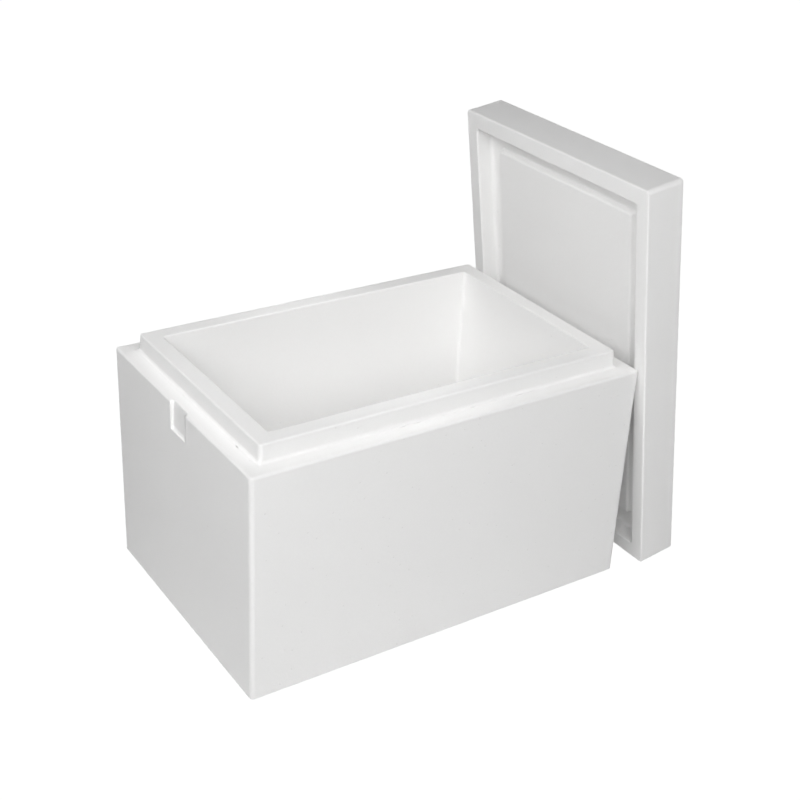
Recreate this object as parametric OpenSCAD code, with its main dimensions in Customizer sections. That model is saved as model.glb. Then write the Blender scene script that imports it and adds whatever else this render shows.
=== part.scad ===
// Insulated box moulded from foam beads, with its loose lid stood on end against it. The origin
// is the centre of the box's base. X runs along the box, to the end where the lid leans, Y runs
// across it, away from the long side in front, and Z runs up. All sizes are in millimetres.

/* [Box] */
// Outside length of the box
box_l = 500; // [360:5:700]
// Outside width of the box
box_w = 331; // [240:1:480]
// Height of the ledge that carries the lid's skirt
ledge_h = 275; // [160:1:400]
// Thickness of the walls at the mouth
wall = 42; // [36:0.5:60]
// Thickness of the floor
floor_t = 40; // [25:1:60]
// Draft of the cavity's walls, in degrees from upright
cavity_draft = 1; // [0:0.25:2]
// Radius of the cavity's upright corners, at its floor
cavity_r = 3; // [3:0.5:25]
// Radius of the cove round the cavity's floor
floor_r = 2.5; // [1:0.5:2.5]
// Radius of the upright outer edges, on the box and on the lid
corner_r = 4.5; // [4:0.5:20]
// Radius of the edges round the base
base_r = 1.5; // [1:0.5:4]
// Radius of the ledge's outer edge
rim_r = 2.5; // [1:0.5:4]

/* [Lip] */
// Height of the lip above the ledge
lip_h = 21; // [12:0.5:35]
// Width of the ledge, from the outer wall to the lip's foot
ledge_w = 20.25; // [10:0.25:24]
// How far the lip's outer side leans in between its foot and its top
lip_taper = 1; // [0:0.25:1.5]
// Radius of the lip's upright corners, at its foot
lip_r = 4; // [4:0.5:25]
// Radius of the cove at the lip's foot
lip_cove_r = 2.5; // [1:0.25:2.75]
// Radius of the lip's top edges, outside and at the cavity's mouth
lip_edge_r = 1.5; // [0.5:0.25:2.25]

/* [Thumb notches] */
// Width of the notch in each end wall
notch_w = 35; // [20:1:80]
// Height of the notch, down from the ledge
notch_h = 34; // [15:1:80]
// Depth of the notch into the wall, at the ledge
notch_d = 4; // [2:0.5:8]
// How much shallower the notch is at its foot
notch_taper = 1; // [0:0.25:1.5]
// Radius of the notch's back corners
notch_r = 1.5; // [0.5:0.25:1.75]

/* [Lid] */
// Overall thickness of the lid
lid_t = 50.5; // [42:0.5:80]
// How far the lid reaches past each end of the box
end_reach = 1.5; // [0:0.5:6]
// Gap between the lip's foot and the lid's skirt round it
skirt_gap = 1.25; // [1:0.25:3]
// How far the skirt's inner side leans in between the rim and the seat
skirt_taper = 0.5; // [0:0.25:1]
// Gap between the lip's top and the seat that covers it
seat_gap = 0.5; // [0.25:0.25:2]
// How far the lid's plug goes down into the cavity's mouth
plug_h = 6.5; // [5.5:0.5:12]
// Gap between the cavity's mouth and the plug's foot
plug_gap = 0.5; // [0.5:0.25:3]
// How far the plug's sides lean in between its foot and its face
plug_taper = 1.5; // [0:0.25:4]
// Radius of the edges round the lid's outer face
lid_edge_r = 1.5; // [1:0.25:4]
// Radius of the edges of the lid's rim
lid_soft_r = 1.5; // [1.25:0.25:2.5]
// Radius of the cove round the seat, where the skirt meets it
seat_cove_r = 4.5; // [2:0.5:4.5]
// Radius of the cove at the plug's foot and of the edges of its face
plug_soft_r = 2.5; // [1:0.25:2.5]

/* [Leaning lid] */
// How far the lid leans from upright against the box, in degrees
lid_lean = 8.4; // [4:0.2:20]
// How far the lid stands towards the front of the box
lid_shift = 9; // [0:1:30]
// Gap between the lid and the edge of the ledge that it leans on
lean_gap = 0.3; // [0.1:0.1:0.8]

/* [Hidden] */
$fn = 64;
// How far a shape runs past the face that it is cut from or joined to
bite = 1;
// How far a round runs past the faces that it blends, so that it meets them in a clean edge
overlap = 0.005;

// The box, from its floor to its mouth
mouth_h = ledge_h + lip_h;
cavity_d = mouth_h - floor_t;
mouth_r = round(100 * (cavity_r + cavity_d * tan(cavity_draft))) / 100;
notch_lean = atan(notch_taper / notch_h);

// The lid lying flat, with the plane of its rim at Z = 0 and its outer face up
lid_l = box_l + 2 * end_reach;
lid_w = box_w;
seat_h = lip_h + seat_gap;
socket_r = max(lip_r + skirt_gap, skirt_taper + seat_cove_r);
plug_depth = plug_h + seat_gap;
plug_r = max(mouth_r - plug_gap, plug_taper + 2 * plug_soft_r);

// Where the lid stands: the plane of its rim passes the round edge of the ledge at the lean's
// gap and meets the ground at lid_foot, and the lid slides down it until its edge is grounded
lid_foot = ((box_l / 2 - rim_r) * cos(lid_lean) + (ledge_h - rim_r) * sin(lid_lean)
    + rim_r + lean_gap) / cos(lid_lean);
lid_drop = lid_soft_r * (cos(lid_lean) + sin(lid_lean) - 1) / cos(lid_lean);

// What a round edge takes off a square corner, which is at the origin, with the solid on its
// left and above it
module corner_waste(r) {
    difference() {
        translate([-r, -bite]) square(r + bite);
        translate([-r, r]) circle(r);
    }
}

// Profile of an upright wall out to `reach`, with its lower and upper edges rounded
module wall_profile(reach, tall, low_r, high_r) {
    difference() {
        square([reach, tall]);
        translate([reach, 0]) corner_waste(low_r);
        translate([reach, tall]) mirror([0, 1]) corner_waste(high_r);
    }
}

// Profile of a raised block whose side leans in from `foot` to `top` over its height. A cove
// spreads its foot, its top edge is rounded, and it is rooted a bite deep in what carries it.
module raised_profile(foot, top, tall, cove_r, edge_r) {
    lean = atan((foot - top) / tall);
    out = [cos(lean), sin(lean)];
    cove = [foot + cove_r * (1 / cos(lean) - tan(lean)), cove_r];
    edge = [foot - (tall - edge_r) * tan(lean) - edge_r / cos(lean), tall - edge_r];
    difference() {
        polygon([[0, -bite], [cove.x, -bite], cove, cove - cove_r * out, [top, tall], [0, tall]]);
        translate(cove) circle(cove_r + overlap);
        translate(edge) difference() {
            polygon([[0, 0], 2 * edge_r * out, [2 * edge_r, 2 * edge_r], [0, 2 * edge_r]]);
            circle(edge_r + overlap);
        }
    }
    translate([0, -bite]) square([cove.x, bite]);
}

// Runs a profile round a rectangle whose corners' centres stand at cx and cy, and fills the
// middle from z_low to z_high. The profile's X starts at those centres, and its Y is upright.
module round_block(cx, cy, z_low, z_high) {
    translate([-cx, -cy, z_low]) cube([2 * cx, 2 * cy, z_high - z_low]);
    for (turn = [0:3]) {
        along = turn % 2 == 0 ? cy : cx;
        across = turn % 2 == 0 ? cx : cy;
        rotate([0, 0, 90 * turn]) translate([across, along, 0]) {
            rotate([90, 0, 0]) linear_extrude(2 * along) children();
            rotate_extrude(angle = 90) children();
        }
    }
}

// The same block for a raised profile, given by its outline at the foot and its corner radius
module raised_block(l, w, r, taper, tall, cove_r, edge_r) {
    round_block(l / 2 - r, w / 2 - r, -bite, tall)
        raised_profile(r, r - taper, tall, cove_r, edge_r);
}

// An outer body of the box or the lid, from Z = 0 up
module outer_block(l, w, tall, low_r, high_r) {
    round_block(l / 2 - corner_r, w / 2 - corner_r, 0, tall)
        wall_profile(corner_r, tall, low_r, high_r);
}

// The waste of a thumb notch in a wall whose outer face is at X = 0, with the ledge at Z = 0
module notch_waste() {
    translate([0, 0, -notch_h]) rotate([0, notch_lean, 0])
        linear_extrude(notch_h + 2 * bite) difference() {
            translate([-bite, -notch_w / 2]) square([notch_d - notch_taper + bite, notch_w]);
            for (side = [-1, 1]) scale([1, side])
                translate([notch_d - notch_taper, -notch_w / 2]) corner_waste(notch_r);
        }
}

module box() {
    color("whitesmoke") difference() {
        union() {
            outer_block(box_l, box_w, ledge_h, base_r, rim_r);
            translate([0, 0, ledge_h])
                raised_block(box_l - 2 * ledge_w, box_w - 2 * ledge_w, lip_r, lip_taper, lip_h,
                    lip_cove_r, lip_edge_r);
        }
        translate([0, 0, mouth_h]) mirror([0, 0, 1])
            raised_block(box_l - 2 * wall, box_w - 2 * wall, mouth_r, mouth_r - cavity_r,
                cavity_d, lip_edge_r, floor_r);
        for (end = [0, 180])
            rotate([0, 0, end]) translate([-box_l / 2, 0, ledge_h]) notch_waste();
    }
}

module lid() {
    color("whitesmoke") translate([lid_foot, -lid_shift, 0]) rotate([0, 90 - lid_lean, 0])
        translate([lid_drop - lid_l / 2, 0, 0]) {
            difference() {
                outer_block(lid_l, lid_w, lid_t, lid_soft_r, lid_edge_r);
                raised_block(box_l - 2 * (ledge_w - skirt_gap), box_w - 2 * (ledge_w - skirt_gap),
                    socket_r, skirt_taper, seat_h, lid_soft_r, seat_cove_r);
            }
            translate([0, 0, seat_h]) mirror([0, 0, 1])
                raised_block(box_l - 2 * (wall + plug_gap), box_w - 2 * (wall + plug_gap),
                    plug_r, plug_taper, plug_depth, plug_soft_r, plug_soft_r);
        }
}

box();
lid();
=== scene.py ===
"""Insulated box moulded from foam beads, with its loose lid stood on end against it.

Lengths are in metres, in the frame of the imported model: X along the box, to the end where the
lid leans, Y across it, away from the long side in front, Z up from the floor. Each moulding is
modelled upright and square about Z, and the lid is then stood up in its place.
"""

import math

import bpy
from mathutils import Matrix, Quaternion, Vector


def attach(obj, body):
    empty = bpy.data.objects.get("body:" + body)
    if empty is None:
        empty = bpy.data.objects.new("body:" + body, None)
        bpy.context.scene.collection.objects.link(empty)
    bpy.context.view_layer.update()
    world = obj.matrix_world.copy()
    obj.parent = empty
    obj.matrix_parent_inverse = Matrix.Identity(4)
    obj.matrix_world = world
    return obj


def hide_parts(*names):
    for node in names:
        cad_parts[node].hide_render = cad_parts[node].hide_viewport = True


MM = 0.001

# The photograph's frame and the camera that took it
PHOTO_PX = 800
FOCAL_PX = 1402.55
SENSOR = 36.0
CAMERA_AT = Vector((-788.6, -1199.93, 983.56)) * MM
AIM_AT = Vector((40.0, 9.3, 206.93)) * MM
ROLL_DEG = 3.02

# The lamps: place, what each is turned to, size, power in watts, and spread in degrees
LAMPS = {
    "key": ((-1.17, -1.68, 1.63), (0, 0, 0.2), 1.2, 27, 180),
    "front": ((0, -2.05, 1.63), (0, 0, 0.2), 1.2, 11, 180),
    "side": ((-1.98, -0.53, 1.63), (0, 0, 0.2), 1.2, 9, 180),
    "top": ((-0.35, 0.05, 0.85), (0, 0, 0.2), 0.5, 1.2, 180),
    "inside": ((-0.03, 0, 0.95), (-0.02, 0, 0.1), 0.15, 0.08, 30),
}
WORLD_LIGHT = 0.08

# The floor: its size, its own grey, and the share and level of the white that the camera sees
FLOOR_SIZE = 30
FLOOR_GREY = 0.82
WHITE_SHARE, WHITE_LEVEL = 0.94, 1.07

# The box
BOX_L, BOX_W = 500 * MM, 331 * MM
LEDGE_H, LEDGE_W = 275 * MM, 20.25 * MM
LIP_H, LIP_TAPER = 21 * MM, 1 * MM
MOUTH_H = LEDGE_H + LIP_H
WALL, FLOOR_T = 42 * MM, 40 * MM
CAVITY_DRAFT = math.radians(1)
NOTCH_W, NOTCH_H, NOTCH_D = 35 * MM, 34 * MM, 4 * MM
NOTCH_TAPER = 1 * MM

# Radii of its upright edges: outside, on the lip, in the cavity and at the notch's back
CORNER_R, LIP_R, CAVITY_R, NOTCH_R = 4.5 * MM, 4 * MM, 4 * MM, 1.5 * MM
# Radii round its base, round the ledge and round the cavity's floor
BASE_R, RIM_R, FLOOR_R = 1.5 * MM, 2.5 * MM, 2.5 * MM
# Radii of the cove at the lip's foot and of the lip's top edges
LIP_COVE_R, LIP_EDGE_R = 5 * MM, 1.5 * MM

# The lid, which reaches past each end of the box and covers the lip with a few gaps
END_REACH, LID_T = 1.5 * MM, 50.5 * MM
LID_L, LID_W = BOX_L + 2 * END_REACH, BOX_W
SKIRT_GAP, SKIRT_TAPER = 1.25 * MM, 0.5 * MM
SEAT_GAP = 0.5 * MM
SEAT_H = LIP_H + SEAT_GAP
PLUG_GAP, PLUG_TAPER = 0.5 * MM, 1.5 * MM
PLUG_H = 6.5 * MM
PLUG_DEPTH = PLUG_H + SEAT_GAP

# Radii round its outer face and its rim, of the cove round the seat, and on the plug
LID_EDGE_R, LID_SOFT_R = 1.5 * MM, 1.5 * MM
SEAT_COVE_R, PLUG_SOFT_R = 4.5 * MM, 2.5 * MM

# How the lid stands: its lean from upright, its shift to the front, and its gap to the ledge
LID_LEAN = math.radians(8.4)
LID_SHIFT, LEAN_GAP = 9 * MM, 0.3 * MM

# The foam: its colour, its sheen, and how much light it lets in and how deep
FOAM_COLOUR = (0.945, 0.942, 0.937)
FOAM_ROUGHNESS, FOAM_SHEEN = 0.7, 0.3
FOAM_GLOW, FOAM_GLOW_DEPTH = 0.25, 3 * MM

# Sizes on the foam: a bead, the fine grain, the soft clouds, and the gap between places for a pit
BEAD, GRAIN, CLOUD, PIT_GAP = 3.6 * MM, 1.1 * MM, 60 * MM, 11 * MM
# A seam's half width as a share of a bead, and a pit's rim and bed as shares of the gap
SEAM_SHARE = 0.15
PIT_RIM, PIT_BED = 0.10, 0.05
# Of the places for a pit, those whose chance comes above these values hold one
PIT_CHANCE = 0.80, 0.84
# How sharp an edge is where its beads begin to show, and where they stand out most
WORN_FROM, WORN_FULL = 0.505, 0.53

# How high or deep each mark on the foam is, in millimetres
GRAIN_MM, WORN_GRAIN_MM = 0.05, 0.25
SEAM_MM, CLOUDED_SEAM_MM = 0.03, 0.04
PIT_MM, VENT_MM, DENT_MM = 0.3, 0.25, 0.5
# How much each mark darkens the foam's colour: painted shade in the seams and pits, where shade
# falls in their hollows, and a random tone in the clouds
SEAM_PAINTED_SHADE, PIT_PAINTED_SHADE, CLOUD_SHADE = 0.010, 0.08, 0.012

# The steam vent's mark on the left end: its middle, its spokes and the ring that they fill
VENT_Y, VENT_Z = 82 * MM, 254.6 * MM
VENT_SPOKES, SPOKE_W = 16, 0.9 * MM
VENT_IN, VENT_OUT = 4.5 * MM, 15 * MM
# Dents in the front: where each one's middle is along and up the face, and how wide it is
DENTS = (
    (-211.5 * MM, 53 * MM, 6 * MM),
    (-227.6 * MM, 214.8 * MM, 3.5 * MM),
    (213 * MM, 249 * MM, 3.5 * MM),
)

# How far the surface is worn in by its broad waves and, along its edges, by small nibbles, and
# how long these are
WAVE_DEPTH, WAVE_SIZE = 0.35 * MM, 80 * MM
NIBBLE_DEPTH, NIBBLE_SIZE = 0.6 * MM, 5 * MM
# A point is on an edge's round where no axis takes this much of its normal
EDGE_NORMAL = 0.97
# Spacing of the cuts that give the mouldings enough points to be slightly uneven
GRID = 5 * MM
# Steps in the round of an upright edge and of a notch's corner
UPRIGHT_STEPS, NOTCH_STEPS = 6, 4

# Distances from the middle, along X, that part the upright edges of the cavity or the plug from
# those of the lip or the socket, and these from the outer ones
PAST_MOUTH = BOX_L / 2 - WALL + MM
PAST_LIP = BOX_L / 2 - LEDGE_W + 2 * MM
# An edge is upright where its ends are this far apart in height
UPRIGHT_RISE = 4 * MM
# Nearest that two places can be and still be told apart
NEAR = 0.05 * MM


# Camera and light

def place_camera():
    """Sets the camera at the photograph's viewpoint."""
    data = bpy.data.cameras.new("camera")
    data.sensor_width = SENSOR
    data.lens = FOCAL_PX * SENSOR / PHOTO_PX
    data.clip_end = 100
    camera = bpy.data.objects.new("camera", data)
    bpy.context.collection.objects.link(camera)
    camera.location = CAMERA_AT
    aim = (AIM_AT - CAMERA_AT).to_track_quat("-Z", "Y")
    camera.rotation_mode = "QUATERNION"
    camera.rotation_quaternion = aim @ Quaternion((0, 0, 1), math.radians(ROLL_DEG))
    bpy.context.scene.camera = camera


def add_lamp(name, at, aim, size, power, spread):
    """Adds a square soft lamp at a place, turned to what it lights."""
    data = bpy.data.lights.new(name, "AREA")
    data.shape = "SQUARE"
    data.size = size
    data.energy = power
    data.spread = math.radians(spread)
    lamp = bpy.data.objects.new(name, data)
    bpy.context.collection.objects.link(lamp)
    lamp.location = at
    lamp.rotation_mode = "QUATERNION"
    lamp.rotation_quaternion = (Vector(aim) - Vector(at)).to_track_quat("-Z", "Y")


def light_world():
    """Lights the scene evenly, and shows the camera plain white beyond the floor."""
    world = bpy.data.worlds.new("world")
    bpy.context.scene.world = world
    world.use_nodes = True
    nodes, links = world.node_tree.nodes, world.node_tree.links
    glow = nodes["Background"]
    glow.inputs["Color"].default_value = (1, 1, 1, 1)
    seen = nodes.new("ShaderNodeLightPath")
    level = nodes.new("ShaderNodeMix")
    level.inputs["A"].default_value = WORLD_LIGHT
    level.inputs["B"].default_value = 1.0
    links.new(seen.outputs["Is Camera Ray"], level.inputs["Factor"])
    links.new(level.outputs["Result"], glow.inputs["Strength"])


# Shaders

class Value:
    """A shader socket that takes arithmetic."""

    def __init__(self, graph, socket):
        self.graph, self.socket = graph, socket

    def __add__(self, other):
        return self.graph.maths("ADD", self, other)

    def __radd__(self, other):
        return self.graph.maths("ADD", other, self)

    def __sub__(self, other):
        return self.graph.maths("SUBTRACT", self, other)

    def __rsub__(self, other):
        return self.graph.maths("SUBTRACT", other, self)

    def __mul__(self, other):
        return self.graph.maths("MULTIPLY", self, other)

    def __rmul__(self, other):
        return self.graph.maths("MULTIPLY", other, self)

    def ramp(self, low, high):
        """Rises smoothly from 0 at low to 1 at high, or falls where low is above high."""
        settings = {"interpolation_type": "SMOOTHSTEP"}
        return self.graph.node("ShaderNodeMapRange", "Result", settings,
                               {"Value": self, "From Min": low, "From Max": high})


class Graph:
    """The nodes of one material."""

    def __init__(self, name):
        self.material = bpy.data.materials.new(name)
        self.material.use_nodes = True
        self.tree = self.material.node_tree
        self.shader = self.tree.nodes["Principled BSDF"]

    def put(self, socket, value):
        """Links a value to a socket, or sets it there."""
        if isinstance(value, Value):
            self.tree.links.new(value.socket, socket)
        else:
            socket.default_value = value

    def node(self, kind, output, settings=None, inputs=None):
        """Adds a node and returns one of its outputs."""
        node = self.tree.nodes.new(kind)
        for key, value in (settings or {}).items():
            setattr(node, key, value)
        for key, value in (inputs or {}).items():
            self.put(node.inputs[key], value)
        return Value(self, node.outputs[output])

    def maths(self, operation, *values):
        return self.node("ShaderNodeMath", 0, {"operation": operation}, dict(enumerate(values)))

    def vector(self, operation, output, *values):
        return self.node("ShaderNodeVectorMath", output, {"operation": operation},
                         dict(enumerate(values)))

    def noise(self, place, size, detail=2.0):
        """Smooth noise from 0 to 1 whose lumps have about a given size."""
        return self.node("ShaderNodeTexNoise", "Fac", None,
                         {"Vector": place, "Scale": 1 / size, "Detail": detail})

    def cells(self, place, size, feature, output):
        """One output of a cell texture with cells of a given size."""
        return self.node("ShaderNodeTexVoronoi", output, {"feature": feature},
                         {"Vector": place, "Scale": 1 / size})


def foam_material():
    """Matte white foam of fused beads, with seams, open pits, a few dents and a vent's mark."""
    g = Graph("foam")
    place = g.node("ShaderNodeTexCoord", "Object")
    seam = g.cells(place, BEAD, "DISTANCE_TO_EDGE", "Distance").ramp(SEAM_SHARE, 0.0)
    near_pit = g.cells(place, PIT_GAP, "F1", "Distance")
    chance = g.node("ShaderNodeSeparateColor", "Green", None,
                    {"Color": Value(g, near_pit.socket.node.outputs["Color"])})
    pit = near_pit.ramp(PIT_RIM, PIT_BED) * chance.ramp(*PIT_CHANCE)
    worn = g.node("ShaderNodeNewGeometry", "Pointiness").ramp(WORN_FROM, WORN_FULL)
    cloud = g.noise(place, CLOUD)
    grain = g.noise(place, GRAIN, 1.0)

    marks = vent_mark(g, place) * VENT_MM - front_dents(g, place) * DENT_MM
    beads = (grain * (GRAIN_MM + worn * WORN_GRAIN_MM)
             - seam * (SEAM_MM + cloud * CLOUDED_SEAM_MM))
    bump = g.node("ShaderNodeBump", "Normal", None,
                  {"Strength": 1.0, "Distance": MM, "Height": beads - pit * PIT_MM + marks})

    # Painted shade: the seams and pits are painted darker for the shade in their hollows, while
    # the clouds only vary the tone at random
    tone_and_painted_shade = 1 - seam * SEAM_PAINTED_SHADE - pit * PIT_PAINTED_SHADE + (cloud - 0.5) * CLOUD_SHADE
    colour = g.vector("SCALE", 0, FOAM_COLOUR)
    g.put(colour.socket.node.inputs["Scale"], tone_and_painted_shade)
    g.put(g.shader.inputs["Base Color"], colour)
    g.put(g.shader.inputs["Roughness"], FOAM_ROUGHNESS)
    g.put(g.shader.inputs["Normal"], bump)
    g.put(g.shader.inputs["Specular IOR Level"], FOAM_SHEEN)
    g.shader.subsurface_method = "BURLEY"
    g.put(g.shader.inputs["Subsurface Weight"], FOAM_GLOW)
    g.put(g.shader.inputs["Subsurface Radius"], (1, 1, 1))
    g.put(g.shader.inputs["Subsurface Scale"], FOAM_GLOW_DEPTH)
    return g.material


def vent_mark(g, place):
    """1 on the thin spokes of the steam vent's mark, and 0 elsewhere."""
    x, y, z = (g.node("ShaderNodeSeparateXYZ", axis, None, {"Vector": place}) for axis in "XYZ")
    along, up = y - VENT_Y, z - VENT_Z
    radius = g.maths("SQRT", along * along + up * up)
    pitch = 2 * math.pi / VENT_SPOKES
    turn = g.maths("PINGPONG", g.maths("ARCTAN2", up, along) + math.pi, pitch / 2)
    spoke = (turn * radius).ramp(SPOKE_W / 2, SPOKE_W / 4)
    ring = radius.ramp(VENT_IN, VENT_IN + MM) * radius.ramp(VENT_OUT, VENT_OUT - 3 * MM)
    return spoke * ring * x.ramp(2 * MM - BOX_L / 2, MM - BOX_L / 2)


def front_dents(g, place):
    """Rises to 1 in the middle of each dent of the front."""
    total = 0
    for x, z, width in DENTS:
        away = g.vector("DISTANCE", "Value", place, (x, -BOX_W / 2, z))
        total = away.ramp(width / 2, 0.0) + total
    return total


def floor_material():
    """Bright floor that the camera sees as plain white, with a trace of the shadows left on it."""
    g = Graph("pale_floor")
    g.put(g.shader.inputs["Base Color"], (FLOOR_GREY, FLOOR_GREY, FLOOR_GREY, 1))
    g.put(g.shader.inputs["Roughness"], 0.9)
    g.put(g.shader.inputs["Specular IOR Level"], 0.1)
    white = g.node("ShaderNodeEmission", 0, None,
                   {"Color": (1, 1, 1, 1), "Strength": WHITE_LEVEL})
    seen = g.node("ShaderNodeLightPath", "Is Camera Ray")
    both = g.node("ShaderNodeMixShader", 0, None, {0: seen * WHITE_SHARE, 2: white})
    g.tree.links.new(g.shader.outputs[0], both.socket.node.inputs[1])
    g.tree.links.new(both.socket, g.tree.nodes["Material Output"].inputs["Surface"])
    return g.material


# Modelling

def settle(piece, name):
    """Names a new piece and puts its place and size into its mesh."""
    piece.name = name
    bpy.ops.object.transform_apply(location=True, rotation=True, scale=True)


def block(name, size):
    """Adds a block of a given size that stands on the origin."""
    bpy.ops.mesh.primitive_cube_add(size=1, location=(0, 0, size[2] / 2))
    piece = bpy.context.object
    piece.scale = size
    settle(piece, name)
    return piece


def pick(piece, kind, test):
    """Goes into edit mode with the faces or edges selected that pass a test.

    The test gets a face's middle and normal, or an edge's two ends.
    """
    bpy.ops.object.mode_set(mode="OBJECT")
    mesh = piece.data
    for part in (mesh.vertices, mesh.edges, mesh.polygons):
        part.foreach_set("select", [False] * len(part))
    if kind == "FACE":
        for face in mesh.polygons:
            face.select = test(face.center, face.normal)
    else:
        for edge in mesh.edges:
            edge.select = test(*(mesh.vertices[i].co for i in edge.vertices))
    bpy.context.tool_settings.mesh_select_mode = (False, kind == "EDGE", kind == "FACE")
    bpy.ops.object.mode_set(mode="EDIT")


def inset(width):
    """Sets the selected face in by a width."""
    bpy.ops.mesh.inset(thickness=width, depth=0, use_even_offset=True)


def stretch(half, wanted):
    """Brings the selected face from one half length and half width to another."""
    bpy.ops.transform.resize(value=(wanted[0] / half[0], wanted[1] / half[1], 1),
                             center_override=(0, 0, 0))


def drive(height, half, taper):
    """Extrudes the selected face by a height and draws its sides in by a taper."""
    bpy.ops.mesh.extrude_region_move(TRANSFORM_OT_translate={"value": (0, 0, height)})
    stretch(half, (half[0] - taper, half[1] - taper))


def half_sizes(length, width, back):
    """Half length and half width of a rectangle that is set in by the same on each side."""
    return length / 2 - back, width / 2 - back


def bevel(piece, test, radius, steps):
    """Rounds the edges that pass a test."""
    pick(piece, "EDGE", test)
    bpy.ops.mesh.bevel(offset=radius, offset_type="OFFSET", segments=steps, affect="EDGES",
                       clamp_overlap=False)


def uprights(inner, outer):
    """Makes a test for the upright edges between two distances from the middle along X."""
    def test(a, b):
        return abs(a.z - b.z) > UPRIGHT_RISE and inner < abs(a.x) < outer
    return test


def round_uprights(piece, outside, lip, mouth):
    """Rounds the upright edges outside, on the lip or socket, and in the cavity or on the plug."""
    bevel(piece, uprights(PAST_LIP, LID_L), outside, UPRIGHT_STEPS)
    bevel(piece, uprights(PAST_MOUTH, PAST_LIP), lip, UPRIGHT_STEPS)
    bevel(piece, uprights(0, PAST_MOUTH), mouth, UPRIGHT_STEPS)


def ring(height, length, width, back, corner):
    """Makes a test for the ring of edges at a height round a rectangle that is set in by back.

    The ring's corners are already round, so they leave the rectangle by a part of their radius.
    """
    half = half_sizes(length, width, back)
    slack = corner * (1 - math.sqrt(0.5)) + MM

    def on_ring(point):
        past = max(abs(point.x) - half[0], abs(point.y) - half[1])
        return abs(point.z - height) <= NEAR and -slack <= past < NEAR

    return lambda a, b: on_ring(a) and on_ring(b)


def round_rings(piece, length, width, rings):
    """Rounds the rings of edges that lie level round a piece.

    Each ring has its height, how far it is set in, the radius of its upright corners, its own
    radius and the steps in its round.
    """
    for height, back, corner, radius, steps in rings:
        bevel(piece, ring(height, length, width, back, corner), radius, steps)


def cut_grid(piece, ranges):
    """Cuts a piece along three sets of evenly spaced planes."""
    pick(piece, "FACE", lambda middle, normal: True)
    for axis, (low, high) in enumerate(ranges):
        normal = [0, 0, 0]
        normal[axis] = 1
        for step in range(1, math.ceil((high - low) / GRID)):
            at = [0, 0, 0]
            at[axis] = low + step * GRID
            bpy.ops.mesh.select_all(action="SELECT")
            bpy.ops.mesh.bisect(plane_co=at, plane_no=normal, threshold=0.01 * MM)
    bpy.ops.object.mode_set(mode="OBJECT")


def roughen(piece, name, depth, size, group=""):
    """Wears the surface in by up to a depth, in lumps of a given size."""
    texture = bpy.data.textures.new(name, "CLOUDS")
    texture.noise_scale = size
    texture.noise_depth = 1
    modifier = piece.modifiers.new(name, "DISPLACE")
    modifier.texture = texture
    modifier.texture_coords = "LOCAL"
    modifier.direction = "NORMAL"
    modifier.mid_level = 1.0
    modifier.strength = depth
    modifier.vertex_group = group
    bpy.ops.object.modifier_apply(modifier=name)


def weather(piece):
    """Gives a moulding its slight unevenness, more on its edges, and shades it smooth."""
    edges = piece.vertex_groups.new(name="edges")
    edges.add([v.index for v in piece.data.vertices if max(map(abs, v.normal)) < EDGE_NORMAL],
              1.0, "REPLACE")
    roughen(piece, "waves", WAVE_DEPTH, WAVE_SIZE)
    roughen(piece, "nibbles", NIBBLE_DEPTH, NIBBLE_SIZE, "edges")
    bpy.ops.object.shade_smooth()
    weights = piece.modifiers.new("weights", "WEIGHTED_NORMAL")
    weights.weight = 60
    weights.keep_sharp = False
    bpy.ops.object.modifier_apply(modifier="weights")
    piece.vertex_groups.clear()


def cut_notch(box, turn):
    """Sinks the thumb notch into one end of the box."""
    depth = NOTCH_D - NOTCH_TAPER
    cutter = block("notch_cutter", (2 * depth, NOTCH_W, NOTCH_H + LIP_H))
    bevel(cutter, lambda a, b: abs(a.z - b.z) > MM and a.x > 0, NOTCH_R, NOTCH_STEPS)
    bpy.ops.object.mode_set(mode="OBJECT")
    lean = Matrix.Rotation(math.atan(NOTCH_TAPER / NOTCH_H), 4, "Y")
    stand = Matrix.Translation((-BOX_L / 2, 0, LEDGE_H - NOTCH_H))
    cutter.matrix_world = Matrix.Rotation(turn, 4, "Z") @ stand @ lean
    bpy.context.view_layer.objects.active = box
    modifier = box.modifiers.new("notch", "BOOLEAN")
    modifier.operation = "DIFFERENCE"
    modifier.solver = "EXACT"
    modifier.object = cutter
    bpy.ops.object.modifier_apply(modifier="notch")
    bpy.data.objects.remove(cutter)


def model_box():
    """Models the box, from its base to its mouth."""
    lip_top = LEDGE_W + LIP_TAPER
    cavity_d = MOUTH_H - FLOOR_T
    draw = cavity_d * math.tan(CAVITY_DRAFT)
    box = block("foam_box", (BOX_L, BOX_W, LEDGE_H))
    pick(box, "FACE", lambda middle, normal: normal.z > 0.5)
    inset(LEDGE_W)
    drive(LIP_H, half_sizes(BOX_L, BOX_W, LEDGE_W), LIP_TAPER)
    inset(WALL - lip_top)
    drive(-cavity_d, half_sizes(BOX_L, BOX_W, WALL), draw)

    round_uprights(box, CORNER_R, LIP_R, CAVITY_R)
    round_rings(box, BOX_L, BOX_W, (
        (0, 0, CORNER_R, BASE_R, 3),
        (LEDGE_H, 0, CORNER_R, RIM_R, 4),
        (LEDGE_H, LEDGE_W, LIP_R, LIP_COVE_R, 4),
        (MOUTH_H, lip_top, LIP_R, LIP_EDGE_R, 3),
        (MOUTH_H, WALL, CAVITY_R, LIP_EDGE_R, 3),
        (FLOOR_T, WALL + draw, CAVITY_R, FLOOR_R, 4),
    ))
    bpy.ops.object.mode_set(mode="OBJECT")
    cut_notch(box, 0)
    cut_notch(box, math.pi)
    cut_grid(box, ((-BOX_L / 2, BOX_L / 2), (-BOX_W / 2, BOX_W / 2), (0, MOUTH_H)))
    weather(box)
    return box


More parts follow.
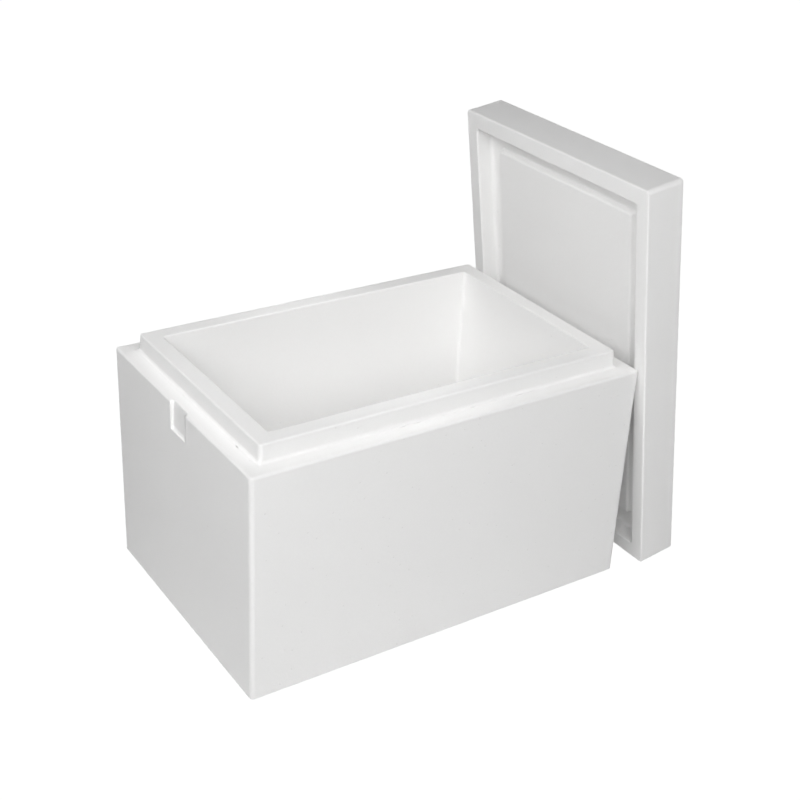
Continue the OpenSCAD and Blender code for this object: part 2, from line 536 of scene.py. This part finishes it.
def model_lid():
    """Models the lid face down on its rim, then stands it up against the end of the box."""
    rim = LEDGE_W - SKIRT_GAP
    plug_foot = WALL + PLUG_GAP
    lid = block("foam_lid", (LID_L, LID_W, LID_T))
    pick(lid, "FACE", lambda middle, normal: normal.z < -0.5)
    inset(rim)
    stretch(half_sizes(LID_L, LID_W, rim), half_sizes(BOX_L, BOX_W, rim))
    drive(SEAT_H, half_sizes(BOX_L, BOX_W, rim), SKIRT_TAPER)
    inset(plug_foot - rim - SKIRT_TAPER)
    drive(-PLUG_DEPTH, half_sizes(BOX_L, BOX_W, plug_foot), PLUG_TAPER)

    round_uprights(lid, CORNER_R, LIP_R + SKIRT_GAP, CAVITY_R)
    round_rings(lid, LID_L, LID_W, (
        (LID_T, 0, CORNER_R, LID_EDGE_R, 3),
        (0, 0, CORNER_R, LID_SOFT_R, 3),
    ))
    round_rings(lid, BOX_L, BOX_W, (
        (0, rim, LIP_R, LID_SOFT_R, 3),
        (SEAT_H, rim + SKIRT_TAPER, LIP_R, SEAT_COVE_R, 6),
        (SEAT_H, plug_foot, CAVITY_R, PLUG_SOFT_R, 4),
        (SEAT_H - PLUG_DEPTH, plug_foot + PLUG_TAPER, CAVITY_R, PLUG_SOFT_R, 4),
    ))
    bpy.ops.object.mode_set(mode="OBJECT")
    cut_grid(lid, ((-LID_L / 2, LID_L / 2), (-LID_W / 2, LID_W / 2), (0, LID_T)))
    weather(lid)
    stand_up(lid)
    settle(lid, "foam_lid")
    return lid


def stand_up(lid):
    """Stands the lid on its right end and leans its rim on the round edge of the ledge.

    The plane of the rim passes that edge at the lean's gap and meets the floor at foot, and the
    lid slides down it until its own round edge is grounded.
    """
    cosine, sine = math.cos(LID_LEAN), math.sin(LID_LEAN)
    foot = ((BOX_L / 2 - RIM_R) * cosine + (LEDGE_H - RIM_R) * sine + RIM_R + LEAN_GAP) / cosine
    drop = LID_SOFT_R * (cosine + sine - 1) / cosine
    lid.matrix_world = (Matrix.Translation((foot, -LID_SHIFT, 0))
                        @ Matrix.Rotation(math.pi / 2 - LID_LEAN, 4, "Y")
                        @ Matrix.Translation((drop - LID_L / 2, 0, 0)))


def add_floor():
    """Lays the pale floor."""
    bpy.ops.mesh.primitive_plane_add(size=FLOOR_SIZE)
    floor = bpy.context.object
    floor.name = "floor"
    floor.data.materials.append(floor_material())


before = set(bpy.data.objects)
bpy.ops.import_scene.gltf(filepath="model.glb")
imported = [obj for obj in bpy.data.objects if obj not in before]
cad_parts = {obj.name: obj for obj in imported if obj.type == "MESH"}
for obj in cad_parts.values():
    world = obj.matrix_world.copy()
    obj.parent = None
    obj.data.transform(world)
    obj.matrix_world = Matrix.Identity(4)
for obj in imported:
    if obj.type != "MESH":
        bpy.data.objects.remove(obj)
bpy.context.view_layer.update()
foam = foam_material()
for build, node in ((model_box, "box"), (model_lid, "lid")):
    bpy.ops.object.select_all(action="DESELECT")
    piece = build()
    piece.data.materials.append(foam)
    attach(piece, "root")
    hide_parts(node)
add_floor()
place_camera()
light_world()
for name, lamp in LAMPS.items():
    add_lamp(name, *lamp)
bpy.context.scene.view_settings.view_transform = "Standard"
